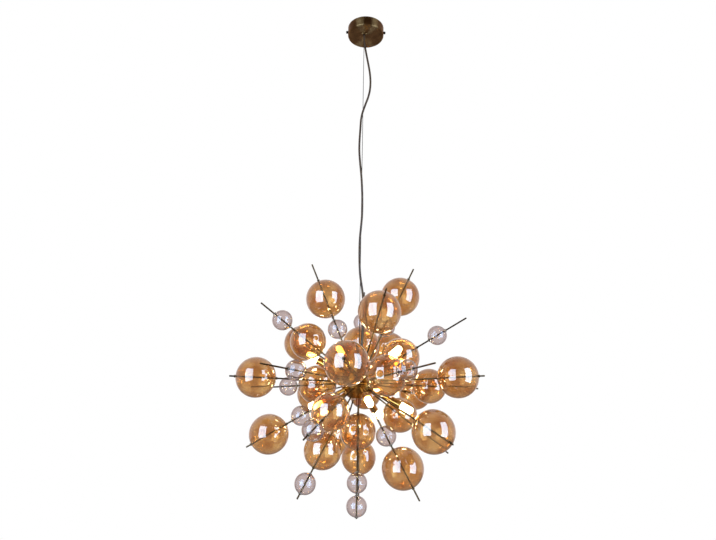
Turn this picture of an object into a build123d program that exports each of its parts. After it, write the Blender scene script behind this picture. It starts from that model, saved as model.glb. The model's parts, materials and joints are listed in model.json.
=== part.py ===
from build123d import *
import math
import os

# Pendant light with glass globes on rods around one hub. Sizes are in
# millimetres and degrees. The ceiling is the plane z = 0, and the origin is
# the middle of the canopy on it. X runs right, Y away from the viewer, Z up.

# Ceiling fitting
canopy_diameter = 110.0
canopy_height = 30.0
canopy_wall = 1.2
canopy_edge_radius = 4.0
bracket_width = 18.0
bracket_thickness = 2.0
bracket_leg_height = 24.0
bracket_bend_radius = 2.5
bracket_gap = 0.4
ceiling_hole_spacing = 60.0
ceiling_hole_diameter = 5.0
screw_diameter = 4.0
screw_head_diameter = 8.0
screw_head_height = 6.0
screw_edge_radius = 1.0
screw_slot_width = 1.2
screw_slot_depth = 1.5
screw_tail = 2.0
block_length = 30.0
block_width = 16.0
block_height = 11.0
block_edge_radius = 1.0
block_screw_diameter = 4.0
block_screw_pitch = 9.0
block_screw_depth = 6.0

# Outlet in the canopy, with the seat of the wire's ball and the cable's bore
wire_offset = -5.0
cable_offset = -9.0
outlet_diameter = 24.0
outlet_height = 8.0
outlet_flange_diameter = 28.0
outlet_flange_thickness = 2.0
outlet_chamfer = 0.6
outlet_nut_size = 34.0
outlet_nut_thickness = 2.5
ball_diameter = 6.0
ball_height = 5.0
ball_clearance = 0.3
wire_diameter = 1.6
wire_bore_top = 2.8
wire_bore_bottom = 4.8
cable_diameter = 6.0
cable_bore_top = 9.6
cable_bore_bottom = 10.4
cable_entry = 3.0
tail_gap = 2.5

# Hub
hub_drop = 1100.0
hub_diameter = 90.0
hub_wall = 5.0
hub_flat_cut = 3.0
hub_dome_height = 13.0
lip_clearance = 0.3
lip_wall = 2.2
lip_depth = 4.0
lip_root = 2.0
stem_diameter = 10.0
stem_bore = 6.0
cap_diameter = 30.0
cap_height = 8.0
cap_edge_radius = 2.0
nut_diameter = 13.0
nut_height = 16.0
nut_edge_radius = 1.0
stem_in_nut = 10.0
ferrule_diameter = 7.0
ferrule_height = 14.0
ferrule_stud_length = 8.0
ferrule_top_diameter = 3.4
gland_diameter = 9.0
gland_height = 12.0
gland_taper_height = 5.0
gland_top_diameter = 7.4
gland_distance = 10.0
gland_azimuth = -45.0
junction_diameter = 34.0
junction_height = 24.0
junction_edge_radius = 1.5
fit_clearance = 0.05

# Rods and lamps
rod_diameter = 4.0
rod_reach = 325.0
rod_inside_hub = 2.0
rod_tip_chamfer = 0.6
tube_diameter = 10.0
tube_bore = 7.0
lead_diameter = 3.0
lead_in_junction = 2.0
cup_diameter = 20.0
cup_wall = 1.2
cup_start = 92.0
cup_length = 30.0
cup_base = 3.0
cup_edge_radius = 1.5
holder_diameter = 17.2
holder_height = 21.0
holder_recess_length = 14.5
holder_recess_width = 6.5
holder_recess_depth = 6.0
pin_spacing = 9.0
pin_diameter = 1.4
pin_length = 6.0
pin_hole_diameter = 2.0
pinch_length = 13.0
pinch_width = 5.0
pinch_height = 9.0
bulb_diameter = 16.0
bulb_height = 38.0
bulb_seat_gap = 0.4

# Glass globes, their stops on the rods and the clear globes' grommets
large_amber_diameter = 100.0
medium_amber_diameter = 90.0
small_clear_diameter = 50.0
amber_wall = 1.5
clear_wall = 1.2
amber_hole = 5.0
clear_hole = 6.4
collar_diameter = 7.0
collar_length = 2.5
collar_edge_radius = 0.5
globe_play = 0.4
grommet_flange_diameter = 9.0
grommet_flange = 1.2
grommet_sleeve_diameter = 6.0
grommet_sleeve = 2.5
globe_spare = 0.5

# Rings of rods and of lamps: where the first one of an even ring points, or
# where each one points, and how far above the horizontal. Each rod lists its
# globes from the hub outwards: which globe, and how far out its centre is as a
# share of the rod's reach.
lamp_count = 5
upper_lamp_azimuth = 30.0
upper_lamp_elevation = 28.0
lower_lamp_azimuth = 66.0
lower_lamp_elevation = -28.0

top_azimuths = [85.0, 215.0, 335.0]
top_elevation = 62.0
top_globes = [
    [("large", 0.382), ("clear", 0.637)],
    [("clear", 0.449), ("large", 0.705)],
    [("clear", 0.483), ("large", 0.751)],
]
upper_azimuth = 66.0
upper_elevation = 31.0
upper_globes = [
    [("large", 0.769)],
    [("large", 0.782)],
    [("medium", 0.529), ("clear", 0.788)],
    [("large", 0.775)],
    [("large", 0.382), ("clear", 0.726)],
]
equator_azimuth = 12.0
equator_elevation = 0.0
equator_globes = [
    [("medium", 0.582)],
    [("medium", 0.738)],
    [("medium", 0.582)],
    [("large", 0.769)],
    [("large", 0.363), ("clear", 0.631)],
    [("large", 0.800)],
    [("clear", 0.671)],
    [("large", 0.806)],
    [("large", 0.403), ("clear", 0.668)],
    [("large", 0.800)],
]
lower_azimuth = 30.0
lower_elevation = -30.0
lower_globes = [
    [("medium", 0.449)],
    [("large", 0.723)],
    [("clear", 0.517), ("large", 0.800)],
    [("medium", 0.560), ("clear", 0.849)],
    [("large", 0.815)],
]
bottom_azimuths = [88.0, 213.0, 333.0]
bottom_elevation = -60.0
bottom_globes = [
    [("medium", 0.634)],
    [("medium", 0.612), ("clear", 0.880)],
    [("clear", 0.477), ("large", 0.745)],
]
pole_azimuths = [0.0]
pole_elevation = -90.0
pole_globes = [
    [("medium", 0.375), ("clear", 0.748), ("clear", 0.914)],
]

# The cable's way down from the outlet to its gland on the hub: sideways and
# forward of the wire, and the height as a share of the way up.
cable_route = [
    (1.0, -9.0, 0.967),
    (6.0, -9.0, 0.934),
    (13.0, -8.5, 0.896),
    (19.5, -8.0, 0.859),
    (22.0, -8.0, 0.821),
    (18.0, -7.5, 0.783),
    (5.5, -7.0, 0.746),
    (-5.0, -7.0, 0.709),
    (-6.5, -7.5, 0.671),
    (-8.5, -8.0, 0.633),
    (-9.0, -8.0, 0.595),
    (-6.0, -7.5, 0.560),
    (-2.0, -7.0, 0.524),
    (1.0, -7.0, 0.483),
    (2.5, -6.5, 0.439),
    (2.5, -6.5, 0.398),
    (0.0, -6.0, 0.362),
    (-3.0, -6.0, 0.328),
    (-3.5, -6.5, 0.291),
    (-2.5, -7.0, 0.251),
    (0.0, -8.0, 0.216),
    (6.0, -9.0, 0.182),
    (9.5, -9.5, 0.146),
    (10.5, -9.5, 0.109),
    (9.0, -8.5, 0.071),
]
cable_straight_end = 0.033
cable_bend_share = 0.45

hub_radius = hub_diameter / 2
hub_inside = hub_radius - hub_wall
hub_flat_height = hub_radius - hub_flat_cut
hub_split_height = hub_radius - hub_dome_height
lip_radius = math.sqrt(hub_inside**2 - hub_split_height**2) - lip_clearance
hub_centre = Vector(wire_offset, 0, -hub_drop)
canopy_radius = canopy_diameter / 2
screw_height = -canopy_height / 2


def spoke_plane(azimuth, elevation, distance):
    # A plane across a spoke of the hub, facing outwards.
    turn = math.radians(azimuth)
    rise = math.radians(elevation)
    direction = Vector(
        math.cos(rise) * math.cos(turn), math.cos(rise) * math.sin(turn), math.sin(rise)
    )
    sideways = Vector(-math.sin(turn), math.cos(turn), 0)
    return Plane(hub_centre + direction * distance, x_dir=sideways, z_dir=direction)


def even_turns(count, first):
    return [first + step * 360 / count for step in range(count)]


def ring_planes(turns, elevation, distance):
    return [spoke_plane(turn, elevation, distance) for turn in turns]


def level_plane(x, y, z):
    return Plane((x, y, z), x_dir=(1, 0, 0), z_dir=(0, 0, 1))


def save(builder, name):
    builder.part.label = name
    export_step(builder.part, "parts/" + name + ".step")


os.makedirs("parts", exist_ok=True)

# Ceiling bracket: a strip bent down at both ends, with screw holes for the
# ceiling and a threaded hole for a canopy screw in each leg.
canopy_inside = canopy_radius - canopy_wall
bracket_length = 2 * (math.sqrt(canopy_inside**2 - bracket_width**2 / 4) - bracket_gap)
with BuildPart() as ceiling_bracket:
    with BuildSketch(Plane.XZ):
        with Locations((0, -bracket_leg_height / 2)):
            Rectangle(bracket_length, bracket_leg_height)
        with Locations((0, -bracket_thickness - bracket_leg_height / 2)):
            Rectangle(bracket_length - 2 * bracket_thickness, bracket_leg_height, mode=Mode.SUBTRACT)
    extrude(amount=bracket_width / 2, both=True)
    fillet(ceiling_bracket.edges().filter_by(Axis.Y).group_by(Axis.Z)[-1], bracket_bend_radius)
    with BuildSketch():
        with GridLocations(ceiling_hole_spacing, 1, 2, 1):
            Circle(ceiling_hole_diameter / 2)
    extrude(amount=-bracket_thickness, mode=Mode.SUBTRACT)
    with BuildSketch(Plane.YZ):
        with Locations((0, screw_height)):
            Circle(screw_diameter / 2 + fit_clearance)
    extrude(amount=canopy_radius, both=True, mode=Mode.SUBTRACT)
save(ceiling_bracket, "ceiling_bracket")

# Canopy: a spun cup with a rounded edge, open at the ceiling
outlet_x = wire_offset
outlet_y = cable_offset / 2
with BuildPart() as canopy:
    with BuildSketch():
        Circle(canopy_radius)
    extrude(amount=-canopy_height)
    fillet(canopy.edges().group_by(Axis.Z)[0], canopy_edge_radius)
    offset(amount=-canopy_wall, openings=canopy.faces().sort_by(Axis.Z)[-1])
    with BuildSketch(level_plane(outlet_x, outlet_y, -canopy_height)):
        Circle(outlet_diameter / 2 + fit_clearance)
    extrude(amount=canopy_height / 2, mode=Mode.SUBTRACT)
    with BuildSketch(Plane.YZ):
        with Locations((0, screw_height)):
            Circle(screw_diameter / 2 + 4 * fit_clearance)
    extrude(amount=canopy_radius, both=True, mode=Mode.SUBTRACT)
save(canopy, "canopy")

# Canopy screws: two slotted thumb screws through the canopy's side
with BuildPart() as canopy_screws:
    for side in (-1, 1):
        seat = Plane((side * canopy_radius, 0, screw_height), x_dir=(0, 1, 0), z_dir=(side, 0, 0))
        with BuildSketch(seat):
            Circle(screw_head_diameter / 2)
        extrude(amount=screw_head_height)
        outer_edge = canopy_screws.edges().filter_by(GeomType.CIRCLE).sort_by(Axis.X)
        fillet(outer_edge[-1] if side > 0 else outer_edge[0], screw_edge_radius)
        with BuildSketch(seat.offset(screw_head_height - screw_slot_depth)):
            Rectangle(screw_slot_width, screw_head_diameter)
        extrude(amount=screw_slot_depth, mode=Mode.SUBTRACT)
        with BuildSketch(seat):
            Circle(screw_diameter / 2)
        extrude(amount=bracket_length / 2 - bracket_thickness - screw_tail - canopy_radius)
save(canopy_screws, "canopy_screws")

# Terminal block under the bracket, where the house wiring meets the cable
block_bottom = -bracket_thickness - block_height
with BuildPart() as terminal_block:
    with BuildSketch(level_plane(outlet_x, outlet_y, block_bottom)):
        RectangleRounded(block_length, block_width, block_edge_radius)
    extrude(amount=block_height)
    with BuildSketch(level_plane(outlet_x, outlet_y + block_width / 4, block_bottom)):
        with GridLocations(block_screw_pitch, 1, 3, 1):
            Circle(block_screw_diameter / 2)
    extrude(amount=block_screw_depth, mode=Mode.SUBTRACT)
save(terminal_block, "terminal_block")

# Cord outlet: a flanged bush in the canopy. The wire's ball sits in a round
# seat open at the top, and both bores widen downwards so the light can swing.
ball_centre_height = -canopy_height + ball_height
outlet_bottom = -canopy_height - outlet_flange_thickness
seat_radius = ball_diameter / 2 + ball_clearance
bore_length = ball_centre_height - outlet_bottom
with BuildPart() as cord_outlet:
    with BuildSketch(level_plane(outlet_x, outlet_y, -canopy_height)):
        Circle(outlet_diameter / 2)
    extrude(amount=outlet_height)
    with BuildSketch(level_plane(outlet_x, outlet_y, -canopy_height)):
        Circle(outlet_flange_diameter / 2)
    extrude(amount=-outlet_flange_thickness)
    chamfer(cord_outlet.edges().group_by(Axis.Z)[0], outlet_chamfer)
    with Locations((wire_offset, 0, ball_centre_height)):
        Sphere(seat_radius, mode=Mode.SUBTRACT)
    with BuildSketch(level_plane(wire_offset, 0, ball_centre_height)):
        Circle(seat_radius)
    extrude(amount=outlet_height, mode=Mode.SUBTRACT)
    with Locations((wire_offset, 0, outlet_bottom)):
        Cone(
            wire_bore_bottom / 2,
            wire_bore_top / 2,
            bore_length,
            align=(Align.CENTER, Align.CENTER, Align.MIN),
            mode=Mode.SUBTRACT,
        )
    with Locations((wire_offset, cable_offset, outlet_bottom)):
        Cone(
            cable_bore_bottom / 2,
            cable_bore_top / 2,
            outlet_height + outlet_flange_thickness,
            align=(Align.CENTER, Align.CENTER, Align.MIN),
            mode=Mode.SUBTRACT,
        )
save(cord_outlet, "cord_outlet")

# Outlet nut: holds the outlet from inside the canopy
with BuildPart() as outlet_nut:
    with BuildSketch(level_plane(outlet_x, outlet_y, -canopy_height + canopy_wall)):
        RegularPolygon(outlet_nut_size / 2, 6)
        Circle(outlet_diameter / 2 + fit_clearance, mode=Mode.SUBTRACT)
    extrude(amount=outlet_nut_thickness)
save(outlet_nut, "outlet_nut")

# Cable tail: the fixed end of the cable, from the terminal block to the outlet
cable_top = -canopy_height + cable_entry
with BuildPart() as cable_tail:
    with BuildSketch(level_plane(wire_offset, cable_offset, cable_top + tail_gap)):
        Circle(cable_diameter / 2)
    extrude(amount=block_bottom - cable_top - tail_gap)
save(cable_tail, "cable_tail")

# Wire ball: the wire's end in its seat, which lets the light swing
with BuildPart() as wire_ball:
    with Locations((wire_offset, 0, ball_centre_height)):
        Sphere(ball_diameter / 2)
save(wire_ball, "wire_ball")

# Suspension wire: straight down from the ball to the ferrule on the hub
cap_top = hub_centre.Z + hub_flat_height + cap_height
wire_top = ball_centre_height - ball_diameter / 2 - ball_clearance
with BuildPart() as suspension_wire:
    with BuildSketch(level_plane(wire_offset, 0, cap_top + ferrule_height)):
        Circle(wire_diameter / 2)
    extrude(amount=wire_top - cap_top - ferrule_height)
save(suspension_wire, "suspension_wire")

# Supply cable: hangs in slow waves in front of the wire
gland_x = gland_distance * math.cos(math.radians(gland_azimuth))
gland_y = gland_distance * math.sin(math.radians(gland_azimuth))
cable_bottom = cap_top + gland_height
cable_points = [Vector(wire_offset, cable_offset, cable_top)]
for sideways, forward, share in cable_route:
    height = cable_bottom + share * (cable_top - cable_bottom)
    cable_points.append(Vector(wire_offset + sideways, forward, height))
straight_height = cable_bottom + cable_straight_end * (cable_top - cable_bottom)
cable_points.append(Vector(wire_offset + gland_x, gland_y, straight_height))
cable_points.append(Vector(wire_offset + gland_x, gland_y, cable_bottom))
cable_radii = []
for before, corner, after in zip(cable_points, cable_points[1:], cable_points[2:]):
    half_turn = math.radians((corner - before).get_angle(after - corner)) / 2
    shorter_run = min((corner - before).length, (after - corner).length)
    cable_radii.append(cable_bend_share * shorter_run / math.tan(half_turn))
with BuildPart() as supply_cable:
    with BuildLine():
        cable_path = FilletPolyline(*cable_points, radius=cable_radii)
    with BuildSketch(Plane(cable_points[0], z_dir=cable_path % 0)):
        Circle(cable_diameter / 2)
    sweep()
cable_length = cable_path.length
print("cable length", round(cable_length, 1), "smallest bend", round(min(cable_radii), 1))
print(
    "cable volume", round(supply_cable.part.volume),
    "section times length", round(math.pi * cable_diameter**2 / 4 * cable_length),
)
save(supply_cable, "supply_cable")

# Where the rods and lamps stand on the hub
upper_turns = even_turns(len(upper_globes), upper_azimuth)
equator_turns = even_turns(len(equator_globes), equator_azimuth)
lower_turns = even_turns(len(lower_globes), lower_azimuth)
top_rods = ring_planes(top_azimuths, top_elevation, 0)
upper_rods = ring_planes(upper_turns, upper_elevation, 0)
equator_rods = ring_planes(equator_turns, equator_elevation, 0)
lower_rods = ring_planes(lower_turns, lower_elevation, 0)
bottom_rods = ring_planes(bottom_azimuths, bottom_elevation, 0)
upper_lamps = ring_planes(even_turns(lamp_count, upper_lamp_azimuth), upper_lamp_elevation, 0)
lower_lamps = ring_planes(even_turns(lamp_count, lower_lamp_azimuth), lower_lamp_elevation, 0)
lamps = upper_lamps + lower_lamps
body_rods = upper_rods + equator_rods + lower_rods + bottom_rods

# Hub body: a hollow ball with a flat seat below and a wide mouth above
hub_section = Plane(hub_centre, x_dir=(1, 0, 0), z_dir=(0, -1, 0))
hub_axis = Axis((hub_centre.X, hub_centre.Y, hub_centre.Z), (0, 0, 1))
stem_hole = stem_diameter / 2 + fit_clearance
with BuildPart() as hub_body:
    with BuildSketch(hub_section):
        Circle(hub_radius)
        Circle(hub_inside, mode=Mode.SUBTRACT)
        with Locations((stem_hole, -hub_flat_height)):
            Rectangle(
                hub_radius, hub_flat_height + hub_split_height,
                align=(Align.MIN, Align.MIN), mode=Mode.INTERSECT,
            )
    revolve(axis=hub_axis)
    with BuildSketch(*[plane.offset(hub_inside / 2) for plane in body_rods]):
        Circle(rod_diameter / 2 + fit_clearance)
    extrude(amount=hub_radius, mode=Mode.SUBTRACT)
    with BuildSketch(*[plane.offset(hub_inside / 2) for plane in lamps]):
        Circle(tube_diameter / 2 + fit_clearance)
    extrude(amount=hub_radius, mode=Mode.SUBTRACT)
save(hub_body, "hub_body")

# Hub dome: closes the mouth, and its lip keeps it central
with BuildPart() as hub_dome:
    with BuildSketch(hub_section):
        Circle(hub_radius)
        Circle(hub_inside, mode=Mode.SUBTRACT)
        with Locations((stem_hole, hub_split_height)):
            Rectangle(
                hub_radius, hub_flat_height - hub_split_height,
                align=(Align.MIN, Align.MIN), mode=Mode.INTERSECT,
            )
        with Locations((lip_radius - lip_wall, hub_split_height - lip_depth)):
            Rectangle(lip_wall, lip_depth + lip_root, align=(Align.MIN, Align.MIN))
    revolve(axis=hub_axis)
    with BuildSketch(*[plane.offset(hub_inside / 2) for plane in top_rods]):
        Circle(rod_diameter / 2 + fit_clearance)
    extrude(amount=hub_radius, mode=Mode.SUBTRACT)
    with BuildSketch(level_plane(wire_offset + gland_x, gland_y, hub_centre.Z)):
        Circle(cable_diameter / 2 + fit_clearance)
    extrude(amount=hub_radius, mode=Mode.SUBTRACT)
save(hub_dome, "hub_dome")

# Hub cap: a turned disc on the dome's flat, bored for the stem and the cable
with BuildPart() as hub_cap:
    with BuildSketch(level_plane(wire_offset, 0, cap_top - cap_height)):
        Circle(cap_diameter / 2)
    extrude(amount=cap_height)
    fillet(hub_cap.edges().group_by(Axis.Z)[-1], cap_edge_radius)
    with BuildSketch(level_plane(wire_offset, 0, cap_top)):
        Circle(stem_hole)
        with Locations((gland_x, gland_y)):
            Circle(cable_diameter / 2 + fit_clearance)
    extrude(amount=-cap_height, mode=Mode.SUBTRACT)
save(hub_cap, "hub_cap")

# Hub stem: the tube through the hub that the cap and the nut clamp it with
nut_top = hub_centre.Z - hub_flat_height
with BuildPart() as hub_stem:
    with BuildSketch(level_plane(wire_offset, 0, nut_top - stem_in_nut)):
        Circle(stem_diameter / 2)
        Circle(stem_bore / 2, mode=Mode.SUBTRACT)
    extrude(amount=cap_top - nut_top + stem_in_nut)
save(hub_stem, "hub_stem")

# Bottom nut: screws on the stem below the hub and takes the pole rod
with BuildPart() as bottom_nut:
    with BuildSketch(level_plane(wire_offset, 0, nut_top)):
        Circle(nut_diameter / 2)
    extrude(amount=-nut_height)
    fillet(bottom_nut.edges().group_by(Axis.Z)[0], nut_edge_radius)
    with BuildSketch(level_plane(wire_offset, 0, nut_top)):
        Circle(stem_hole)
    extrude(amount=-stem_in_nut, mode=Mode.SUBTRACT)
    with BuildSketch(level_plane(wire_offset, 0, nut_top)):
        Circle(rod_diameter / 2 + fit_clearance)
    extrude(amount=-nut_height, mode=Mode.SUBTRACT)
save(bottom_nut, "bottom_nut")

# Wire ferrule: crimped on the wire's end, its stud inside the stem's top
with BuildPart() as wire_ferrule:
    with BuildSketch(level_plane(wire_offset, 0, cap_top)):
        Circle(ferrule_diameter / 2)
    extrude(amount=ferrule_height / 2)
    with Locations((wire_offset, 0, cap_top + ferrule_height / 2)):
        Cone(
            ferrule_diameter / 2,
            ferrule_top_diameter / 2,
            ferrule_height / 2,
            align=(Align.CENTER, Align.CENTER, Align.MIN),
        )
    with BuildSketch(level_plane(wire_offset, 0, cap_top)):
        Circle(stem_bore / 2 - fit_clearance)
    extrude(amount=-ferrule_stud_length)
save(wire_ferrule, "wire_ferrule")

# Cable gland on the cap; the cable ends on its top face
with BuildPart() as cable_gland:
    with BuildSketch(level_plane(wire_offset + gland_x, gland_y, cap_top)):
        Circle(gland_diameter / 2)
    extrude(amount=gland_height - gland_taper_height)
    with Locations((wire_offset + gland_x, gland_y, cap_top + gland_height - gland_taper_height)):
        Cone(
            gland_diameter / 2,
            gland_top_diameter / 2,
            gland_taper_height,
            align=(Align.CENTER, Align.CENTER, Align.MIN),
        )
    with BuildSketch(level_plane(wire_offset + gland_x, gland_y, cap_top)):
        Circle(lead_diameter / 2)
    extrude(amount=gland_height, mode=Mode.SUBTRACT)
save(cable_gland, "cable_gland")

# Junction block: a ring on the stem inside the hub with one entry per lamp
lead_start = junction_diameter / 2 - lead_in_junction
with BuildPart() as junction_block:
    with BuildSketch(level_plane(wire_offset, 0, hub_centre.Z - junction_height / 2)):
        Circle(junction_diameter / 2)
    extrude(amount=junction_height)
    fillet(junction_block.edges(), junction_edge_radius)
    with BuildSketch(level_plane(wire_offset, 0, hub_centre.Z)):
        Circle(stem_hole)
    extrude(amount=junction_height, both=True, mode=Mode.SUBTRACT)
    with BuildSketch(*[plane.offset(lead_start) for plane in lamps]):
        Circle(lead_diameter / 2 + fit_clearance)
    extrude(amount=junction_diameter / 2, mode=Mode.SUBTRACT)
save(junction_block, "junction_block")

# Lamp leads: one sleeved pair of wires through each lamp tube
holder_start = cup_start + cup_base
with BuildPart() as lamp_leads:
    with BuildSketch(*[plane.offset(lead_start) for plane in lamps]):
        Circle(lead_diameter / 2)
    extrude(amount=holder_start - lead_start)
save(lamp_leads, "lamp_leads")

# Rods: one turned pin, screwed into the hub's wall at every rod position
rod_start = hub_inside - rod_inside_hub
with BuildPart() as rod:
    with BuildSketch(Plane.XY.offset(rod_start)):
        Circle(rod_diameter / 2)
    extrude(amount=rod_reach - rod_start)
    chamfer(rod.edges().group_by(Axis.Z)[-1], rod_tip_chamfer)
pole_start = hub_flat_height + stem_in_nut
with BuildPart() as pole_rod:
    with BuildSketch(Plane.XY.offset(pole_start)):
        Circle(rod_diameter / 2)
    extrude(amount=rod_reach - pole_start)
    chamfer(pole_rod.edges().group_by(Axis.Z)[-1], rod_tip_chamfer)

with BuildPart() as rods_upper:
    with Locations(*top_rods, *upper_rods):
        add(rod.part)
save(rods_upper, "rods_upper")

with BuildPart() as rods_equator:
    with Locations(*equator_rods):
        add(rod.part)
save(rods_equator, "rods_equator")

with BuildPart() as rods_lower:
    with Locations(*lower_rods, *bottom_rods):
        add(rod.part)
    with Locations(*ring_planes(pole_azimuths, pole_elevation, 0)):
        add(pole_rod.part)
save(rods_lower, "rods_lower")

# Lamp tubes: carry the lamps on the hub and hide their leads
with BuildPart() as lamp_tubes:
    with BuildSketch(*[plane.offset(rod_start) for plane in lamps]):
        Circle(tube_diameter / 2)
        Circle(tube_bore / 2, mode=Mode.SUBTRACT)
    extrude(amount=holder_start - rod_start)
save(lamp_tubes, "lamp_tubes")

# Socket cups: thin brass cups with a thick base on the tube's end
with BuildPart() as socket_cup:
    with BuildSketch(Plane.XY.offset(cup_start)):
        Circle(cup_diameter / 2)
    extrude(amount=cup_length)
    fillet(socket_cup.edges().group_by(Axis.Z)[0], cup_edge_radius)
    with BuildSketch(Plane.XY.offset(holder_start)):
        Circle(cup_diameter / 2 - cup_wall)
    extrude(amount=cup_length, mode=Mode.SUBTRACT)
    with BuildSketch(Plane.XY.offset(cup_start)):
        Circle(tube_diameter / 2 + fit_clearance)
    extrude(amount=cup_base, mode=Mode.SUBTRACT)
with BuildPart() as socket_cups:
    with Locations(*lamps):
        add(socket_cup.part)
save(socket_cups, "socket_cups")

# Lampholders: ceramic inserts with a recess and two pin holes
holder_top = holder_start + holder_height
with BuildPart() as lampholder:
    with BuildSketch(Plane.XY.offset(holder_start)):
        Circle(holder_diameter / 2)
    extrude(amount=holder_height)
    with BuildSketch(Plane.XY.offset(holder_top)):
        Rectangle(holder_recess_length, holder_recess_width)
    extrude(amount=-holder_recess_depth, mode=Mode.SUBTRACT)
    with BuildSketch(Plane.XY.offset(holder_top - holder_recess_depth)):
        with GridLocations(pin_spacing, 1, 2, 1):
            Circle(pin_hole_diameter / 2)
    extrude(amount=-pin_length - 2 * bulb_seat_gap, mode=Mode.SUBTRACT)
with BuildPart() as lampholders:
    with Locations(*lamps):
        add(lampholder.part)
save(lampholders, "lampholders")

# Bulbs: frosted capsules with a flat pinch and two pins
pinch_start = holder_top - holder_recess_depth + bulb_seat_gap
capsule_start = pinch_start + pinch_height - pinch_width / 2
with BuildPart() as bulb:
    with BuildSketch(Plane.XY.offset(pinch_start)):
        RectangleRounded(pinch_length, pinch_width, pinch_width / 4)
    extrude(amount=pinch_height)
    with BuildSketch(Plane.XY.offset(capsule_start)):
        Circle(bulb_diameter / 2)
    extrude(amount=bulb_height)
    fillet(bulb.edges().group_by(Axis.Z)[-1], bulb_diameter * 0.4)
    with BuildSketch(Plane.XY.offset(pinch_start)):
        with GridLocations(pin_spacing, 1, 2, 1):
            Circle(pin_diameter / 2)
    extrude(amount=-pin_length)
with BuildPart() as bulbs:
    with Locations(*lamps):
        add(bulb.part)
save(bulbs, "bulbs")

# Globes: blown shells with a hole at each end for the rod
globe_sizes = {
    "large": (large_amber_diameter, amber_wall, amber_hole),
    "medium": (medium_amber_diameter, amber_wall, amber_hole),
    "clear": (small_clear_diameter, clear_wall, clear_hole),
}
globe_shapes = {}
for kind, (diameter, wall, hole) in globe_sizes.items():
    with BuildPart() as globe:
        Sphere(diameter / 2)
        Sphere(diameter / 2 - wall, mode=Mode.SUBTRACT)
        Cylinder(hole / 2, 2 * diameter, mode=Mode.SUBTRACT)
    globe_shapes[kind] = globe.part

rings = [
    ("top", top_globes, top_azimuths, top_elevation),
    ("upper", upper_globes, upper_turns, upper_elevation),
    ("equator", equator_globes, equator_turns, equator_elevation),
    ("lower", lower_globes, lower_turns, lower_elevation),
    ("bottom", bottom_globes, bottom_azimuths, bottom_elevation),
    ("pole", pole_globes, pole_azimuths, pole_elevation),
]
tiers = {
    "top": "upper", "upper": "upper", "equator": "equator",
    "lower": "lower", "bottom": "lower", "pole": "lower",
}
# Along its rod a globe stands at its share of the reach, or as far out as the
# stops of the globe before it and its own ones need.
collar_room = globe_play + collar_length
end_rooms = {"large": collar_room, "medium": collar_room, "clear": grommet_flange}
collar_planes = []
grommet_planes = []
clear_planes = {"upper": [], "equator": [], "lower": []}
for ring, ring_globes, turns, elevation in rings:
    for number, rod_globes in enumerate(ring_globes):
        turn = turns[number]
        taken = hub_radius
        for kind, share in rod_globes:
            diameter = globe_sizes[kind][0]
            half_room = diameter / 2 + end_rooms[kind]
            distance = max(share * rod_reach, taken + half_room)
            taken = distance + half_room + globe_spare
            place = spoke_plane(turn, elevation, distance)
            if kind == "clear":
                clear_planes[tiers[ring]].append(place)
                far_side = spoke_plane(turn, elevation, distance + diameter / 2)
                near_side = spoke_plane(turn + 180, -elevation, -distance + diameter / 2)
                grommet_planes.extend([far_side, near_side])
                continue
            stop = diameter / 2 + globe_play
            collar_planes.append(spoke_plane(turn, elevation, distance + stop))
            collar_planes.append(spoke_plane(turn, elevation, distance - stop - collar_length))
            with BuildPart() as amber_globe:
                with Locations(place):
                    add(globe_shapes[kind])
            save(amber_globe, "amber_globe_" + ring + "_" + str(number + 1))

for tier, planes in clear_planes.items():
    with BuildPart() as clear_globes:
        with Locations(*planes):
            add(globe_shapes["clear"])
    save(clear_globes, "clear_globes_" + tier)

# Stop collars: a ring on the rod at each end of every amber globe
with BuildPart() as collar:
    with BuildSketch():
        Circle(collar_diameter / 2)
    extrude(amount=collar_length)
    fillet(collar.edges(), collar_edge_radius)
    with BuildSketch():
        Circle(rod_diameter / 2 + fit_clearance)
    extrude(amount=collar_length, mode=Mode.SUBTRACT)
with BuildPart() as stop_collars:
    with Locations(*collar_planes):
        add(collar.part)
save(stop_collars, "stop_collars")

# Grommets: soft flanged sleeves that hold the clear globes on their rods
with BuildPart() as grommet:
    with BuildSketch():
        Circle(grommet_flange_diameter / 2)
    extrude(amount=grommet_flange)
    with BuildSketch():
        Circle(grommet_sleeve_diameter / 2)
    extrude(amount=-grommet_sleeve)
    with BuildSketch(Plane.XY.offset(-grommet_sleeve)):
        Circle(rod_diameter / 2 + fit_clearance)
    extrude(amount=grommet_sleeve + grommet_flange, mode=Mode.SUBTRACT)
with BuildPart() as globe_grommets:
    with Locations(*grommet_planes):
        add(grommet.part)
save(globe_grommets, "globe_grommets")
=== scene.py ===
import json
import math

import bpy
from mathutils import Matrix, Vector


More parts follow.
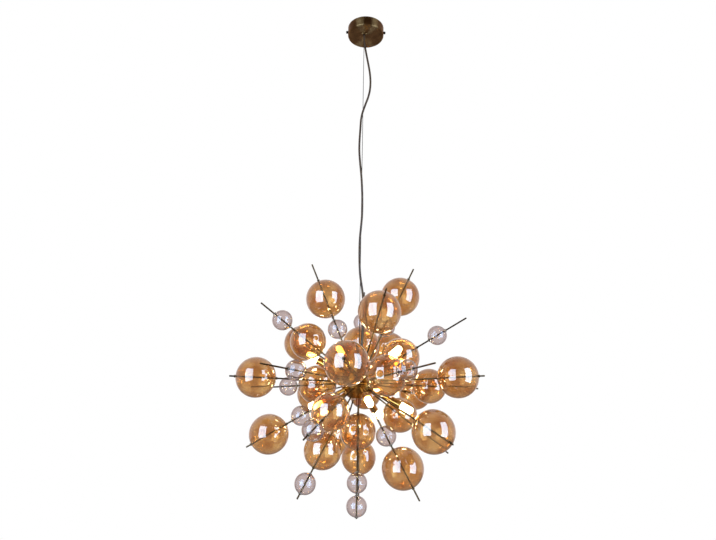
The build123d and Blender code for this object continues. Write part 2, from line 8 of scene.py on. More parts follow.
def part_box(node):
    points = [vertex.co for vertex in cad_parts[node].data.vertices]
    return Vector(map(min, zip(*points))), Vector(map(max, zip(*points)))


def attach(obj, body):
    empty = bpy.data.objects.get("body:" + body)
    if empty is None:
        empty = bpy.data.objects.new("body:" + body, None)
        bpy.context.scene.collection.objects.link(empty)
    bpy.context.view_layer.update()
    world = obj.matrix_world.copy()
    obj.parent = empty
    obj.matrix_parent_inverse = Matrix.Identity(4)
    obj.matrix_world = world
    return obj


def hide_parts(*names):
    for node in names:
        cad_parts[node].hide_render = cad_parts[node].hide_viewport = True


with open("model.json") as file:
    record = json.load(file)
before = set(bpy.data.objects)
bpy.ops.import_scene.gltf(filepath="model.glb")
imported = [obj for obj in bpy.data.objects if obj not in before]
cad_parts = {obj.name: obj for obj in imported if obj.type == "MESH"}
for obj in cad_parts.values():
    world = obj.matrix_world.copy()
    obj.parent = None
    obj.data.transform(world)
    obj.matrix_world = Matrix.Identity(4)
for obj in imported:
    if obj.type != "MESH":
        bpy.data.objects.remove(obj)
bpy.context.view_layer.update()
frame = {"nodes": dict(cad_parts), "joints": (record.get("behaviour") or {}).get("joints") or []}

# Suspension wire: galvanised steel wire rope from the ball in the canopy
# straight down to a ferrule on the hub. It carries the light, so it is taut.
wire_length = 1.0077
wire_diameter = 0.0016
wire_points = [
    (-0.005, 0.0, -0.0283), (-0.005, 0.0, -0.04), (-0.005, 0.0, -0.5), (-0.005, 0.0, -1.02),
    (-0.005, 0.0, -1.036),
]


def linear(hex_colour):
    channels = []
    for start in (1, 3, 5):
        value = int(hex_colour[start:start + 2], 16) / 255
        channels.append(value / 12.92 if value <= 0.04045 else ((value + 0.055) / 1.055) ** 2.4)
    return (*channels, 1.0)


def new_material(name):
    material = bpy.data.materials.new(name)
    material.use_nodes = True
    material.node_tree.nodes.clear()
    return material, material.node_tree


def add_node(tree, kind, inputs=None, stops=(), **settings):
    node = tree.nodes.new(kind)
    for name, value in settings.items():
        setattr(node, name, value)
    for number, (position, hex_colour) in enumerate(stops):
        node.color_ramp.elements[number].position = position
        node.color_ramp.elements[number].color = linear(hex_colour)
    for socket, value in (inputs or {}).items():
        if isinstance(value, bpy.types.NodeSocket):
            tree.links.new(value, node.inputs[socket])
        else:
            node.inputs[socket].default_value = value
    return node


def cord_curve(name, points, diameter, material):
    curve = bpy.data.curves.new(name, "CURVE")
    curve.dimensions = "3D"
    curve.bevel_depth = diameter / 2
    curve.bevel_resolution = 5
    curve.resolution_u = 6
    spline = curve.splines.new("NURBS")
    spline.points.add(len(points) - 1)
    for control, place in zip(spline.points, points):
        control.co = (*place, 1.0)
    spline.order_u = 3
    spline.use_endpoint_u = True
    curve.use_fill_caps = True
    curve.materials.append(material)
    cord = bpy.data.objects.new(name, curve)
    bpy.context.collection.objects.link(cord)
    return cord


# Dulled zinc on twisted strands: a dark grey, with painted shade in the slanting
# groove between each strand and the next. Six strands go once round in 12 mm,
# the usual lay of a rope this thick. One wave of the diagonal pattern at scale
# 1 is 2 pi / 10 wide.
strand_count = 6
strand_lay = 0.012
strand_depth = 0.0002
diagonal_wave = 2 * math.pi / 10
wire_steel, tree = new_material("galvanised steel wire rope")
place = add_node(tree, "ShaderNodeTexCoord")
unrolled = add_node(tree, "ShaderNodeMapping", {
    "Vector": place.outputs["UV"], "Scale": (wire_length / strand_lay, 1.0, 0.0)})
strands = add_node(tree, "ShaderNodeTexWave", {
    "Vector": unrolled.outputs[0], "Scale": strand_count * diagonal_wave}, bands_direction="DIAGONAL")
# The ramp paints shade into the grooves between the strands: dark where the bump sinks, lighter on the
# crowns.
colour = add_node(tree, "ShaderNodeValToRGB", {"Fac": strands.outputs["Fac"]},
                  stops=[(0.1, "#171615"), (0.8, "#3a3835")])
groove = add_node(tree, "ShaderNodeBump", {
    "Height": strands.outputs["Fac"], "Strength": 0.6, "Distance": strand_depth})
shader = add_node(tree, "ShaderNodeBsdfPrincipled", {
    "Base Color": colour.outputs["Color"], "Metallic": 1.0, "Roughness": 0.42,
    "Normal": groove.outputs[0]})
add_node(tree, "ShaderNodeOutputMaterial", {"Surface": shader.outputs[0]})
wire = cord_curve("steel_wire", wire_points, wire_diameter, wire_steel)
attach(wire, "pendant")
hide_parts("suspension_wire")

# Supply cable: a round lead in a grey sheath, a little longer than the wire,
# so it hangs in slow waves in front of it from the outlet to the hub's gland.
cable_diameter = 0.006
cable_points = [
    (-0.005, -0.009, -0.0270), (-0.004, -0.009, -0.0604), (0.001, -0.009, -0.0937),
    (0.008, -0.0085, -0.1321), (0.0145, -0.008, -0.1696), (0.017, -0.008, -0.2080),
    (0.013, -0.0075, -0.2464), (0.0005, -0.007, -0.2838), (-0.010, -0.007, -0.3212),
    (-0.0115, -0.0075, -0.3596), (-0.0135, -0.008, -0.3980), (-0.014, -0.008, -0.4365),
    (-0.011, -0.0075, -0.4718), (-0.007, -0.007, -0.5082), (-0.004, -0.007, -0.5497),
    (-0.0025, -0.0065, -0.5942), (-0.0025, -0.0065, -0.6356), (-0.005, -0.006, -0.6720),
    (-0.008, -0.006, -0.7064), (-0.0085, -0.0065, -0.7438), (-0.0075, -0.007, -0.7842),
    (-0.005, -0.008, -0.8196), (0.001, -0.009, -0.8540), (0.0045, -0.0095, -0.8904),
    (0.0055, -0.0095, -0.9278), (0.004, -0.0085, -0.9662), (0.0021, -0.0071, -1.0046),
    (0.0021, -0.0071, -1.0380),
]

# Extruded soft vinyl: an even, warm, satin grey with faint marks of handling,
# 30 mm apart, and a grain that is drawn at 0.8 mm because the real one is too
# fine.
handling_size = 0.03
sheath_grain = 0.0008
grain_depth = 0.0001
sheath, tree = new_material("grey vinyl sheath")
place = add_node(tree, "ShaderNodeTexCoord")
handling = add_node(tree, "ShaderNodeTexNoise", {
    "Vector": place.outputs["Object"], "Scale": 1 / handling_size, "Detail": 3.0})
grain = add_node(tree, "ShaderNodeTexNoise", {
    "Vector": place.outputs["Object"], "Scale": 1 / sheath_grain})
colour = add_node(tree, "ShaderNodeValToRGB", {"Fac": handling.outputs["Fac"]},
                  stops=[(0.35, "#50453b"), (0.7, "#685a4a")])
matt = add_node(tree, "ShaderNodeMapRange", {
    "Value": handling.outputs["Fac"], "To Min": 0.38, "To Max": 0.55})
skin = add_node(tree, "ShaderNodeBump", {
    "Height": grain.outputs["Fac"], "Strength": 0.15, "Distance": grain_depth})
shader = add_node(tree, "ShaderNodeBsdfPrincipled", {
    "Base Color": colour.outputs["Color"], "Roughness": matt.outputs[0], "IOR": 1.53,
    "Normal": skin.outputs[0]})
add_node(tree, "ShaderNodeOutputMaterial", {"Surface": shader.outputs[0]})
cable = cord_curve("supply_lead", cable_points, cable_diameter, sheath)
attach(cable, "pendant")
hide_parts("supply_cable")
nodes = frame["nodes"]


def dress(name, material):
    slots = nodes[name].data.materials
    slots.clear()
    slots.append(material)


# The cable's tail in the canopy and the lamps' leads have the same sheath.
dress("cable_tail", sheath)
dress("lamp_leads", sheath)

# Ceiling bracket: a pressed strip of zinc plated steel with two screw holes
# and two bent legs that carry the canopy, and the hexagon nut of the outlet.
# Zinc gives a pale grey metal with soft crystal patches of about 4 mm.
crystal_size = 0.004
zinc, tree = new_material("zinc plated steel")
place = add_node(tree, "ShaderNodeTexCoord")
crystals = add_node(tree, "ShaderNodeTexVoronoi", {
    "Vector": place.outputs["Object"], "Scale": 1 / crystal_size})
colour = add_node(tree, "ShaderNodeValToRGB", {"Fac": crystals.outputs["Color"]},
                  stops=[(0.1, "#a9acae"), (0.9, "#cfd2d3")])
dull = add_node(tree, "ShaderNodeMapRange", {
    "Value": crystals.outputs["Color"], "To Min": 0.28, "To Max": 0.46})
shader = add_node(tree, "ShaderNodeBsdfPrincipled", {
    "Base Color": colour.outputs["Color"], "Metallic": 1.0, "Roughness": dull.outputs[0]})
add_node(tree, "ShaderNodeOutputMaterial", {"Surface": shader.outputs[0]})
dress("ceiling_bracket", zinc)
dress("outlet_nut", zinc)

# Terminal block under the bracket and junction block in the hub: moulded
# white polyamide with a faint cloudiness and a spark-eroded grain, which is
# drawn at half a millimetre because the real one is too fine.
cloud_size = 0.012
spark_grain = 0.0005
polyamide, tree = new_material("white polyamide")
place = add_node(tree, "ShaderNodeTexCoord")
cloud = add_node(tree, "ShaderNodeTexNoise", {
    "Vector": place.outputs["Object"], "Scale": 1 / cloud_size})
spark = add_node(tree, "ShaderNodeTexNoise", {
    "Vector": place.outputs["Object"], "Scale": 1 / spark_grain})
colour = add_node(tree, "ShaderNodeValToRGB", {"Fac": cloud.outputs["Fac"]},
                  stops=[(0.35, "#d9d5ca"), (0.7, "#ebe8df")])
skin = add_node(tree, "ShaderNodeBump", {
    "Height": spark.outputs["Fac"], "Strength": 0.2, "Distance": grain_depth})
shader = add_node(tree, "ShaderNodeBsdfPrincipled", {
    "Base Color": colour.outputs["Color"], "Roughness": 0.42, "IOR": 1.53, "Normal": skin.outputs[0]})
add_node(tree, "ShaderNodeOutputMaterial", {"Surface": shader.outputs[0]})
dress("terminal_block", polyamide)
dress("junction_block", polyamide)

# Canopy and outlet: a shallow cup spun from brass sheet, brushed in rings on
# the lathe and darkened with an antique finish, with a turned bush in it.
canopy_centre = (0.0, 0.0, 0.0)
canopy_rings = 0.0022
patina_size = 0.025
ring_share = 0.3
ring_depth = 0.0002
ring_wave = 2 * math.pi / 20


def spun_brass(name, axis_place, ring_gap, satin_low, satin_high, dark, light):
    # Antiqued brass shows brown patches a few centimetres across, rings from
    # the lathe, and a satin gloss that changes from ring to ring. The rings
    # spread each light into a streak that crosses them. They are drawn 1 to
    # 2 mm apart, because real brush marks are too fine. One wave of the ring
    # pattern at scale 1 is 2 pi / 20 wide.
    material, tree = new_material(name)
    place = add_node(tree, "ShaderNodeTexCoord")
    centred = add_node(tree, "ShaderNodeMapping", {
        "Vector": place.outputs["Object"], "Location": tuple(-value for value in axis_place)})
    patina = add_node(tree, "ShaderNodeTexNoise", {
        "Vector": centred.outputs[0], "Scale": 1 / patina_size, "Detail": 5.0, "Roughness": 0.6})
    rings = add_node(tree, "ShaderNodeTexWave", {
        "Vector": centred.outputs[0], "Scale": ring_wave / ring_gap, "Distortion": 0.6,
        "Detail": 2.0, "Detail Scale": 3.0}, wave_type="RINGS", rings_direction="Z")
    brown = add_node(tree, "ShaderNodeMix", {
        0: ring_share, 2: patina.outputs["Fac"], 3: rings.outputs["Fac"]}, data_type="FLOAT")
    colour = add_node(tree, "ShaderNodeValToRGB", {"Fac": brown.outputs[0]},
                      stops=[(0.3, dark), (0.72, light)])
    satin = add_node(tree, "ShaderNodeMapRange", {
        "Value": rings.outputs["Fac"], "To Min": satin_low, "To Max": satin_high})
    lathe = add_node(tree, "ShaderNodeBump", {
        "Height": rings.outputs["Fac"], "Strength": 0.12, "Distance": ring_depth})
    turned = add_node(tree, "ShaderNodeTangent", direction_type="RADIAL", axis="Z")
    shader = add_node(tree, "ShaderNodeBsdfPrincipled", {
        "Base Color": colour.outputs["Color"], "Metallic": 1.0, "Roughness": satin.outputs[0],
        "Normal": lathe.outputs[0], "Anisotropic": 0.95, "Anisotropic Rotation": 0.25,
        "Tangent": turned.outputs[0]})
    add_node(tree, "ShaderNodeOutputMaterial", {"Surface": shader.outputs[0]})
    return material


canopy_brass = spun_brass("brushed antique brass", canopy_centre, canopy_rings,
                          satin_low=0.4, satin_high=0.52, dark="#6b4d2b", light="#b5915f")
dress("canopy", canopy_brass)
dress("cord_outlet", canopy_brass)

# Canopy screws: two turned brass screws, blackened, that hold the canopy to
# the bracket's legs. Handling has rubbed some of the black off their heads,
# in spots of about 3 mm.
rubbed_size = 0.003
blackened, tree = new_material("blackened brass")
place = add_node(tree, "ShaderNodeTexCoord")
rubbed = add_node(tree, "ShaderNodeTexNoise", {
    "Vector": place.outputs["Object"], "Scale": 1 / rubbed_size, "Detail": 4.0})
colour = add_node(tree, "ShaderNodeValToRGB", {"Fac": rubbed.outputs["Fac"]},
                  stops=[(0.5, "#1d1814"), (0.75, "#4a3a28")])
shader = add_node(tree, "ShaderNodeBsdfPrincipled", {
    "Base Color": colour.outputs["Color"], "Metallic": 0.85, "Roughness": 0.4})
add_node(tree, "ShaderNodeOutputMaterial", {"Surface": shader.outputs[0]})
dress("canopy_screws", blackened)

# Ball end of the wire: a turned steel ball pressed on the wire, resting in
# its seat in the outlet. Polished steel, with light wear where it turns.
wear_size = 0.0015
steel, tree = new_material("turned steel")
place = add_node(tree, "ShaderNodeTexCoord")
wear = add_node(tree, "ShaderNodeTexNoise", {
    "Vector": place.outputs["Object"], "Scale": 1 / wear_size, "Detail": 3.0})
colour = add_node(tree, "ShaderNodeValToRGB", {"Fac": wear.outputs["Fac"]},
                  stops=[(0.35, "#8d8c8a"), (0.7, "#b9b8b5")])
rub = add_node(tree, "ShaderNodeMapRange", {
    "Value": wear.outputs["Fac"], "To Min": 0.18, "To Max": 0.4})
shader = add_node(tree, "ShaderNodeBsdfPrincipled", {
    "Base Color": colour.outputs["Color"], "Metallic": 1.0, "Roughness": rub.outputs[0]})
add_node(tree, "ShaderNodeOutputMaterial", {"Surface": shader.outputs[0]})
dress("wire_ball", steel)

# Hub: a hollow brass ball in two spun shells, clamped by the stem between the
# cap on top and the long nut below, darkened like the canopy but glossier.
# The nut is of a redder brass.
hub_centre = Vector((-0.005, 0.0, -1.1))
hub_rings = 0.0016
nut_rings = 0.0012
hub_brass = spun_brass("antique brass ball", hub_centre, hub_rings,
                       satin_low=0.18, satin_high=0.28, dark="#7d5628", light="#c08e48")
for name in ("hub_body", "hub_dome", "hub_cap", "hub_stem", "wire_ferrule"):
    dress(name, hub_brass)
nut_brass = spun_brass("antique red brass", hub_centre, nut_rings,
                       satin_low=0.2, satin_high=0.3, dark="#5c2e1c", light="#92573a")
dress("bottom_nut", nut_brass)

# Cable gland: a tapered bush of dark nylon on the hub's cap, beside the
# wire's ferrule, that holds the cable's end. It is moulded and satin, and its
# grain is drawn at 0.6 mm because the real one is too fine.
nylon_grain = 0.0006
nylon, tree = new_material("dark nylon")
place = add_node(tree, "ShaderNodeTexCoord")
grain = add_node(tree, "ShaderNodeTexNoise", {
    "Vector": place.outputs["Object"], "Scale": 1 / nylon_grain, "Detail": 3.0})
colour = add_node(tree, "ShaderNodeValToRGB", {"Fac": grain.outputs["Fac"]},
                  stops=[(0.35, "#191513"), (0.7, "#2a2421")])
skin = add_node(tree, "ShaderNodeBump", {
    "Height": grain.outputs["Fac"], "Strength": 0.2, "Distance": grain_depth})
shader = add_node(tree, "ShaderNodeBsdfPrincipled", {
    "Base Color": colour.outputs["Color"], "Roughness": 0.45, "IOR": 1.53, "Normal": skin.outputs[0]})
add_node(tree, "ShaderNodeOutputMaterial", {"Surface": shader.outputs[0]})
dress("cable_gland", nylon)

# Rods: drawn brass rods screwed into the hub, with a small turned collar on
# each side of every amber globe. Antiqued, and worn to brighter and glossier
# brass in patches of about 12 mm.
worn_size = 0.012
drawn_brass, tree = new_material("antique drawn brass")
place = add_node(tree, "ShaderNodeTexCoord")
worn = add_node(tree, "ShaderNodeTexNoise", {
    "Vector": place.outputs["Object"], "Scale": 1 / worn_size, "Detail": 4.0, "Roughness": 0.65})
colour = add_node(tree, "ShaderNodeValToRGB", {"Fac": worn.outputs["Fac"]},
                  stops=[(0.35, "#403323"), (0.75, "#735a39")])
gloss = add_node(tree, "ShaderNodeMapRange", {
    "Value": worn.outputs["Fac"], "To Min": 0.36, "To Max": 0.2})
shader = add_node(tree, "ShaderNodeBsdfPrincipled", {
    "Base Color": colour.outputs["Color"], "Metallic": 1.0, "Roughness": gloss.outputs[0]})
add_node(tree, "ShaderNodeOutputMaterial", {"Surface": shader.outputs[0]})
for name in ("rods_upper", "rods_equator", "rods_lower", "stop_collars"):
    dress(name, drawn_brass)

# Lamp tubes and socket cups: brass tubes from the hub, each with a deep-drawn
# brass cup on its end. Polished and lacquered, with a faint haze in patches
# of 8 mm, so they mirror the bulbs and the softboxes in long stripes.
haze_size = 0.008
polished_brass, tree = new_material("polished lacquered brass")
place = add_node(tree, "ShaderNodeTexCoord")
haze = add_node(tree, "ShaderNodeTexNoise", {
    "Vector": place.outputs["Object"], "Scale": 1 / haze_size, "Detail": 4.0})
colour = add_node(tree, "ShaderNodeValToRGB", {"Fac": haze.outputs["Fac"]},
                  stops=[(0.3, "#c48a38"), (0.7, "#e0ad52")])
gloss = add_node(tree, "ShaderNodeMapRange", {
    "Value": haze.outputs["Fac"], "To Min": 0.06, "To Max": 0.15})
shader = add_node(tree, "ShaderNodeBsdfPrincipled", {
    "Base Color": colour.outputs["Color"], "Metallic": 1.0, "Roughness": gloss.outputs[0],
    "Coat Weight": 0.4, "Coat Roughness": 0.05})
add_node(tree, "ShaderNodeOutputMaterial", {"Surface": shader.outputs[0]})
dress("lamp_tubes", polished_brass)
dress("socket_cups", polished_brass)

# Lampholders: pressed steatite blocks in the cups, that take the two pins of
# the bulb. Unglazed, off-white, with dark specks under a millimetre wide.
speck_size = 0.0009
steatite, tree = new_material("unglazed steatite")
place = add_node(tree, "ShaderNodeTexCoord")
specks = add_node(tree, "ShaderNodeTexNoise", {
    "Vector": place.outputs["Object"], "Scale": 1 / speck_size, "Detail": 2.0})
colour = add_node(tree, "ShaderNodeValToRGB", {"Fac": specks.outputs["Fac"]},
                  stops=[(0.3, "#bfb5a2"), (0.45, "#e6decf")])
skin = add_node(tree, "ShaderNodeBump", {
    "Height": specks.outputs["Fac"], "Strength": 0.15, "Distance": grain_depth})
shader = add_node(tree, "ShaderNodeBsdfPrincipled", {
    "Base Color": colour.outputs["Color"], "Roughness": 0.6, "IOR": 1.58, "Normal": skin.outputs[0]})
add_node(tree, "ShaderNodeOutputMaterial", {"Surface": shader.outputs[0]})
dress("lampholders", steatite)

# Bulbs: two-pin halogen capsules in acid-frosted glass, all lit. The frost,
# drawn at 0.7 mm because the real one is too fine, spreads the filament's
# warm light over the whole capsule.
frost_size = 0.0007
frost_depth = 0.0001
filament_colour = "#ffedb2"
filament_strength = 22.0
frosted, tree = new_material("lit frosted glass")
place = add_node(tree, "ShaderNodeTexCoord")
frost = add_node(tree, "ShaderNodeTexNoise", {
    "Vector": place.outputs["Object"], "Scale": 1 / frost_size, "Detail": 3.0})
colour = add_node(tree, "ShaderNodeValToRGB", {"Fac": frost.outputs["Fac"]},
                  stops=[(0.3, "#f4ead8"), (0.7, "#fdf8ee")])
skin = add_node(tree, "ShaderNodeBump", {
    "Height": frost.outputs["Fac"], "Strength": 0.2, "Distance": frost_depth})
shader = add_node(tree, "ShaderNodeBsdfPrincipled", {
    "Base Color": colour.outputs["Color"], "Roughness": 0.5, "Normal": skin.outputs[0],
    "Emission Color": linear(filament_colour), "Emission Strength": filament_strength})
add_node(tree, "ShaderNodeOutputMaterial", {"Surface": shader.outputs[0]})
dress("bulbs", frosted)

# Amber globes: balls blown from amber glass, with a lustre film that mirrors
# more than plain glass, drilled through for the rod they are threaded on.
large_globe = 0.1
medium_globe = 0.09
amber_wall = 0.0015
amber_hole = 0.005
amber_segments = 80
pole_share = 0.9999
smooth_angle = math.radians(40)


def blown_globe(diameter, wall, hole, segments):
    radius = diameter / 2
    rings = segments // 2
    bpy.ops.object.select_all(action="DESELECT")
    bpy.ops.mesh.primitive_uv_sphere_add(segments=segments, ring_count=rings, radius=radius)
    globe = bpy.context.object
    bpy.ops.object.mode_set(mode="EDIT")
    bpy.ops.mesh.select_mode(type="VERT")
    bpy.ops.mesh.select_all(action="DESELECT")
    bpy.ops.object.mode_set(mode="OBJECT")
    # Each pole gives way to a hole, whose edge is drawn in from the ball's
    # first ring to the drilled size and stays on the ball's surface.
    for vertex in globe.data.vertices:
        vertex.select = abs(vertex.co.z) > radius * pole_share
    bpy.ops.object.mode_set(mode="EDIT")
    bpy.ops.mesh.delete(type="VERT")
    bpy.ops.mesh.select_all(action="DESELECT")
    bpy.ops.mesh.select_non_manifold(use_wire=False, use_boundary=True, use_multi_face=False,
                                     use_non_contiguous=False, use_verts=False)
    ring = math.pi / rings
    bpy.ops.mesh.extrude_region_move()
    inwards = hole / 2 / (radius * math.sin(ring))
    rise = math.sqrt(radius ** 2 - hole ** 2 / 4) / (radius * math.cos(ring))
    bpy.ops.transform.resize(value=(inwards, inwards, rise), center_override=(0, 0, 0))
    bpy.ops.mesh.select_all(action="SELECT")
    bpy.ops.mesh.normals_make_consistent(inside=False)
    bpy.ops.object.mode_set(mode="OBJECT")
    shell = globe.modifiers.new("wall", "SOLIDIFY")
    shell.thickness = wall
    shell.offset = -1.0
    bpy.ops.object.modifier_apply(modifier="wall")
    bpy.ops.object.shade_smooth_by_angle(angle=smooth_angle)
    return globe


def along(direction, centre):
    # Turns an upright shape to the direction of its rod and puts it in place.
    return Matrix.Translation(centre) @ Vector(direction).to_track_quat("Z", "Y").to_matrix().to_4x4()


def painted_rim_reflection(tree, colour, reflection_grey):
    # Towards its outline, where the shell is seen at a slant, its colour is
    # painted over to a grey. This is a painted reflection of the grey room that
    # the glass mirrors there.
    facing = add_node(tree, "ShaderNodeLayerWeight")
    slant = add_node(tree, "ShaderNodeMapRange", {
        "Value": facing.outputs["Facing"], "From Min": 0.3, "From Max": 0.85})
    mixed = add_node(tree, "ShaderNodeMix", {
        0: slant.outputs[0], 6: colour, 7: linear(reflection_grey)}, data_type="RGBA")
    return mixed.outputs[2]


# Blown glass: clear amber, a little wavy over some 30 mm where it was turned
# on the pipe, so that what it mirrors has soft uneven edges. The metal oxide
# of the lustre film, index 2, mirrors almost three times as much as bare
# glass, lies darker and lighter in patches of 45 mm, and catches a faint glow
# near the bulbs.
amber_waves = 0.03
film_size = 0.045
wave_depth = 0.001
amber, tree = new_material("blown amber lustre glass")
place = add_node(tree, "ShaderNodeTexCoord")
waves = add_node(tree, "ShaderNodeTexNoise", {
    "Vector": place.outputs["Object"], "Scale": 1 / amber_waves})
pipe = add_node(tree, "ShaderNodeBump", {
    "Height": waves.outputs["Fac"], "Strength": 0.25, "Distance": wave_depth})
film = add_node(tree, "ShaderNodeTexNoise", {
    "Vector": place.outputs["Object"], "Scale": 1 / film_size})
colour = add_node(tree, "ShaderNodeValToRGB", {"Fac": film.outputs["Fac"]},
                  stops=[(0.38, "#dcad74"), (0.62, "#fde4b2")])
# The outline is painted grey-beige as a painted reflection of the room.
rimmed = painted_rim_reflection(tree, colour.outputs["Color"], "#c8b6a0")
shader = add_node(tree, "ShaderNodeBsdfPrincipled", {
    "Base Color": rimmed, "Transmission Weight": 0.97, "IOR": 2.0, "Roughness": 0.0,
    "Specular Tint": linear("#fff4ee"), "Normal": pipe.outputs[0]})
add_node(tree, "ShaderNodeOutputMaterial", {"Surface": shader.outputs[0]})
joints = {joint["child"]: joint for joint in frame["joints"]}
patterns = {}
for size in (large_globe, medium_globe):
    patterns[size] = blown_globe(size, amber_wall, amber_hole, amber_segments)
for name in [name for name in nodes if name.startswith("amber_globe")]:
    body = name.replace("amber_", "")
    low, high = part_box(name)
    widest = max(high[i] - low[i] for i in range(3))
    size = large_globe if widest > (large_globe + medium_globe) / 2 else medium_globe
    globe = bpy.data.objects.new(name.replace("amber_globe", "amber"), patterns[size].data.copy())
    bpy.context.collection.objects.link(globe)
    globe.data.transform(along(joints[body]["axis"], joints[body]["pos_m"]))
    globe.data.materials.append(amber)
    globe.visible_shadow = False
    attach(globe, body)
    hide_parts(name)
for pattern in patterns.values():
    bpy.data.objects.remove(pattern)

# Clear globes: smaller balls blown from clear glass, each held on its
# rod by a soft grommet in both holes. Turn and height of each one's rod in
# degrees, and its distance from the hub's centre as a share of the reach.
clear_globe = 0.05
clear_wall = 0.0012
clear_hole = 0.0064
clear_segments = 56
rod_reach = 0.325
clear_rods = {
    "upper": [(85, 62, 0.637), (215, 62, 0.449), (335, 62, 0.483), (210, 31, 0.788), (354, 31, 0.726)],
    "equator": [(156, 0, 0.631), (228, 0, 0.671), (300, 0, 0.668)],
    "lower": [(174, -30, 0.517), (246, -30, 0.849), (213, -60, 0.880), (333, -60, 0.477),
              (0, -90, 0.748), (0, -90, 0.914)],
}

# Blown glass without a film: almost colourless, with a grey outline that is a
# painted reflection, and wavy over some 18 mm, so the small balls break up
# what they mirror.
clear_waves = 0.018
clear, tree = new_material("blown smoky clear glass")
place = add_node(tree, "ShaderNodeTexCoord")
waves = add_node(tree, "ShaderNodeTexNoise", {
    "Vector": place.outputs["Object"], "Scale": 1 / clear_waves})
pipe = add_node(tree, "ShaderNodeBump", {
    "Height": waves.outputs["Fac"], "Strength": 0.3, "Distance": wave_depth})
colour = add_node(tree, "ShaderNodeValToRGB", {"Fac": waves.outputs["Fac"]},
                  stops=[(0.35, "#f3f1f0"), (0.65, "#f9f7f6")])
# The outline is painted grey as a painted reflection of the room.
rimmed = painted_rim_reflection(tree, colour.outputs["Color"], "#a8a2a0")
shader = add_node(tree, "ShaderNodeBsdfPrincipled", {
    "Base Color": rimmed, "Transmission Weight": 1.0, "IOR": 1.46, "Roughness": 0.0,
    "Normal": pipe.outputs[0]})
add_node(tree, "ShaderNodeOutputMaterial", {"Surface": shader.outputs[0]})
pattern = blown_globe(clear_globe, clear_wall, clear_hole, clear_segments)
for tier, places in clear_rods.items():
    bpy.ops.object.select_all(action="DESELECT")
    for turn, height, share in places:
        turn = math.radians(turn)
        height = math.radians(height)
        direction = Vector((math.cos(height) * math.cos(turn), math.cos(height) * math.sin(turn),
                            math.sin(height)))
        globe = bpy.data.objects.new("clear_" + tier, pattern.data.copy())
        bpy.context.collection.objects.link(globe)
        globe.data.transform(along(direction, hub_centre + direction * share * rod_reach))
        globe.select_set(True)
    bpy.context.view_layer.objects.active = globe
    bpy.ops.object.join()
    globe.data.materials.append(clear)
    globe.visible_shadow = False
    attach(globe, "pendant")
    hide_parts("clear_globes_" + tier)
bpy.data.objects.remove(pattern)

# Grommets: flanged sleeves of soft moulded silicone, pushed into both holes of
# each clear globe to hold it on its rod. Milky and half clear, with a dusty
# bloom in spots of 2 mm.
bloom_size = 0.002
silicone, tree = new_material("milky silicone")
place = add_node(tree, "ShaderNodeTexCoord")
bloom = add_node(tree, "ShaderNodeTexNoise", {
    "Vector": place.outputs["Object"], "Scale": 1 / bloom_size, "Detail": 3.0})
colour = add_node(tree, "ShaderNodeValToRGB", {"Fac": bloom.outputs["Fac"]},
                  stops=[(0.35, "#a39c95"), (0.7, "#c4beb7")])
shader = add_node(tree, "ShaderNodeBsdfPrincipled", {
    "Base Color": colour.outputs["Color"], "Roughness": 0.5, "IOR": 1.41, "Transmission Weight": 0.3})
add_node(tree, "ShaderNodeOutputMaterial", {"Surface": shader.outputs[0]})
dress("globe_grommets", silicone)

# Studio floor: pale matt paint, rolled on, a storey below the ceiling. The
# camera sees it fade from the light's soft shadow to white. Mirrored it is a
# mid grey, and seen through glass a pale grey.
floor_height = -2.5
floor_size = 14.0
roller_size = 0.4
white = "#ffffff"
studio_tint = "#ffebe9"
floor_mirrored = 0.2
floor_through_glass = 0.55
glow_in_shadow = 0.65
shadow_reach = 1.0
white_reach = 6.0
bpy.ops.object.select_all(action="DESELECT")
bpy.ops.mesh.primitive_plane_add(size=floor_size, location=(0.0, 0.0, floor_height))
floor = bpy.context.object
floor.name = "floor"
painted, tree = new_material("pale painted floor")
place = add_node(tree, "ShaderNodeTexCoord")
roller = add_node(tree, "ShaderNodeTexNoise", {
    "Vector": place.outputs["Object"], "Scale": 1 / roller_size})
colour = add_node(tree, "ShaderNodeValToRGB", {"Fac": roller.outputs["Fac"]},
                  stops=[(0.3, "#f0efed"), (0.7, "#f6f5f3")])
paint = add_node(tree, "ShaderNodeBsdfPrincipled", {
    "Base Color": colour.outputs["Color"], "Roughness": 0.7})
path = add_node(tree, "ShaderNodeLightPath")
glow = add_node(tree, "ShaderNodeEmission", {"Color": linear(white), "Strength": 1.0})
through = add_node(tree, "ShaderNodeMath", {
    0: path.outputs["Is Transmission Ray"], 1: floor_through_glass - floor_mirrored, 2: floor_mirrored},
    operation="MULTIPLY_ADD")
dim = add_node(tree, "ShaderNodeEmission", {
    "Color": linear(studio_tint), "Strength": through.outputs[0]})
sharp = add_node(tree, "ShaderNodeMath", {
    0: path.outputs["Is Glossy Ray"], 1: path.outputs["Is Transmission Ray"]}, operation="MAXIMUM")
unseen = add_node(tree, "ShaderNodeMixShader", {
    0: sharp.outputs[0], 1: paint.outputs[0], 2: dim.outputs[0]})
span = add_node(tree, "ShaderNodeVectorMath", {0: place.outputs["Object"]}, operation="LENGTH")
fade = add_node(tree, "ShaderNodeMapRange", {
    "Value": span.outputs["Value"], "From Min": shadow_reach, "From Max": white_reach,
    "To Min": glow_in_shadow, "To Max": 1.0})
pale = add_node(tree, "ShaderNodeMixShader", {
    0: fade.outputs[0], 1: paint.outputs[0], 2: glow.outputs[0]})
shader = add_node(tree, "ShaderNodeMixShader", {
    0: path.outputs["Is Camera Ray"], 1: unseen.outputs[0], 2: pale.outputs[0]})
add_node(tree, "ShaderNodeOutputMaterial", {"Surface": shader.outputs[0]})
floor.data.materials.append(painted)

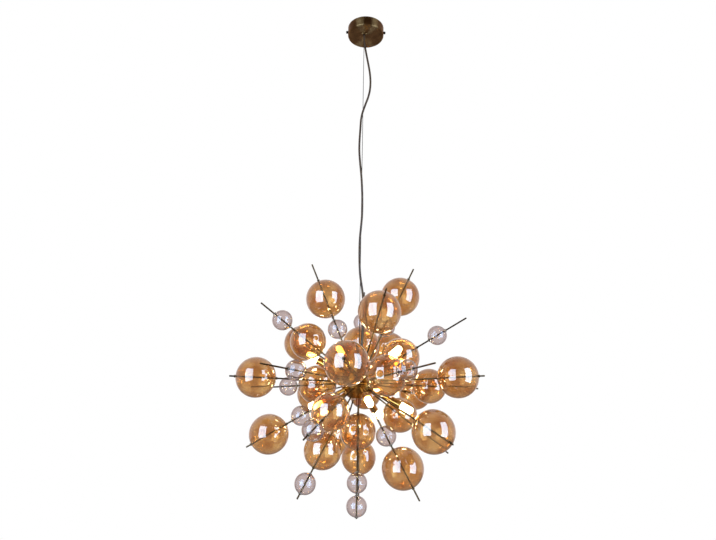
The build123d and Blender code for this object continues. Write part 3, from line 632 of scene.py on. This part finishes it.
# Studio room: white to the camera, and an even soft light to matt surfaces.
# Metal and glass see it go from dark behind the camera to a pale grey behind
# the light, half as bright again where they mirror it as where glass shows it.
room_light = 0.4
grey_behind_camera = 0.1
grey_behind_light = 0.63
mirrored_lift = 1.5
through_lift = 1.0
world = bpy.data.worlds.new("studio")
bpy.context.scene.world = world
world.use_nodes = True
tree = world.node_tree
tree.nodes.clear()
path = add_node(tree, "ShaderNodeLightPath")
place = add_node(tree, "ShaderNodeTexCoord")
away = add_node(tree, "ShaderNodeSeparateXYZ", {0: place.outputs["Generated"]})
grey = add_node(tree, "ShaderNodeMapRange", {
    "Value": away.outputs["Y"], "From Min": -0.7, "From Max": 0.9,
    "To Min": grey_behind_camera, "To Max": grey_behind_light})
seen = add_node(tree, "ShaderNodeBackground", {"Color": linear(white), "Strength": 1.0})
room = add_node(tree, "ShaderNodeBackground", {"Color": linear(white), "Strength": room_light})
lift = add_node(tree, "ShaderNodeMath", {
    0: path.outputs["Is Transmission Ray"], 1: through_lift - mirrored_lift, 2: mirrored_lift},
    operation="MULTIPLY_ADD")
lifted = add_node(tree, "ShaderNodeMath", {0: grey.outputs[0], 1: lift.outputs[0]}, operation="MULTIPLY")
backdrop = add_node(tree, "ShaderNodeBackground", {
    "Color": linear(studio_tint), "Strength": lifted.outputs[0]})
sharp = add_node(tree, "ShaderNodeMath", {
    0: path.outputs["Is Glossy Ray"], 1: path.outputs["Is Transmission Ray"]}, operation="MAXIMUM")
unseen = add_node(tree, "ShaderNodeMixShader", {
    0: sharp.outputs[0], 1: room.outputs[0], 2: backdrop.outputs[0]})
mixed = add_node(tree, "ShaderNodeMixShader", {
    0: path.outputs["Is Camera Ray"], 1: unseen.outputs[0], 2: seen.outputs[0]})
add_node(tree, "ShaderNodeOutputWorld", {"Surface": mixed.outputs[0]})

# Softboxes: two tall ones left and right of the camera, given by their turn in
# degrees and their width. Each is two lamps, given by brightness and colour: a
# cool one that is only seen mirrored, and a white one that lights surfaces.
softboxes = [("left", -36.0, 1.7), ("right", 54.0, 1.35)]
softbox_lamps = [("mirrored", 7.0, "#b2d5ff"), ("lighting", 1.7, white)]
softbox_distance = 2.2
softbox_height = 2.6
softbox_raise = 0.25
aimed_at = hub_centre + Vector((0.0, 0.0, softbox_raise))
for side, turn, width in softboxes:
    turn = math.radians(turn)
    for use, brightness, colour in softbox_lamps:
        light = bpy.data.lights.new(side + "_softbox_" + use, "AREA")
        light.shape = "RECTANGLE"
        light.size = width
        light.size_y = softbox_height
        light.color = linear(colour)[:3]
        light.energy = brightness * math.pi * width * softbox_height
        if use == "mirrored":
            light.use_nodes = True
            tree = light.node_tree
            tree.nodes.clear()
            path = add_node(tree, "ShaderNodeLightPath")
            mirrored = add_node(tree, "ShaderNodeMath", {
                0: path.outputs["Glossy Depth"], 1: 1.0}, operation="MINIMUM")
            glow = add_node(tree, "ShaderNodeEmission", {
                "Color": linear(white), "Strength": mirrored.outputs[0]})
            add_node(tree, "ShaderNodeOutputLight", {"Surface": glow.outputs[0]})
        box = bpy.data.objects.new(light.name, light)
        bpy.context.collection.objects.link(box)
        box.location = aimed_at + Vector((
            softbox_distance * math.sin(turn), -softbox_distance * math.cos(turn), 0.0))
        aim = aimed_at - box.location
        box.rotation_euler = aim.to_track_quat("-Z", "Y").to_euler()
        box.visible_camera = False
        box.visible_diffuse = use == "lighting"
        box.visible_glossy = use == "mirrored"
        box.visible_transmission = use == "mirrored"

# Camera: a short lens a little below the light, tilted up far enough to take
# in the canopy, and turned about its own axis as the picture's wire leans.
lens_length = 32.0
sensor_width = 36.0
camera_from_hub = Vector((-0.0064, -1.6302, -0.2584))
camera_tilt = math.radians(109.03)
camera_roll = math.radians(1.0)
camera_data = bpy.data.cameras.new("camera")
camera_data.sensor_width = sensor_width
camera_data.lens = lens_length
camera = bpy.data.objects.new("camera", camera_data)
bpy.context.collection.objects.link(camera)
camera.location = hub_centre + camera_from_hub
camera.rotation_mode = "ZYX"
camera.rotation_euler = (camera_tilt, 0.0, camera_roll)
bpy.context.scene.camera = camera
bpy.context.scene.view_settings.view_transform = "Standard"

# A look through the burst crosses many glass walls, so light may bounce 24
# times, and a limit takes out the stray sparks that the bulbs throw.
glass_bounces = 24
spark_limit = 20.0
bpy.context.scene.cycles.max_bounces = glass_bounces
bpy.context.scene.cycles.transmission_bounces = glass_bounces
bpy.context.scene.cycles.sample_clamp_indirect = spark_limit
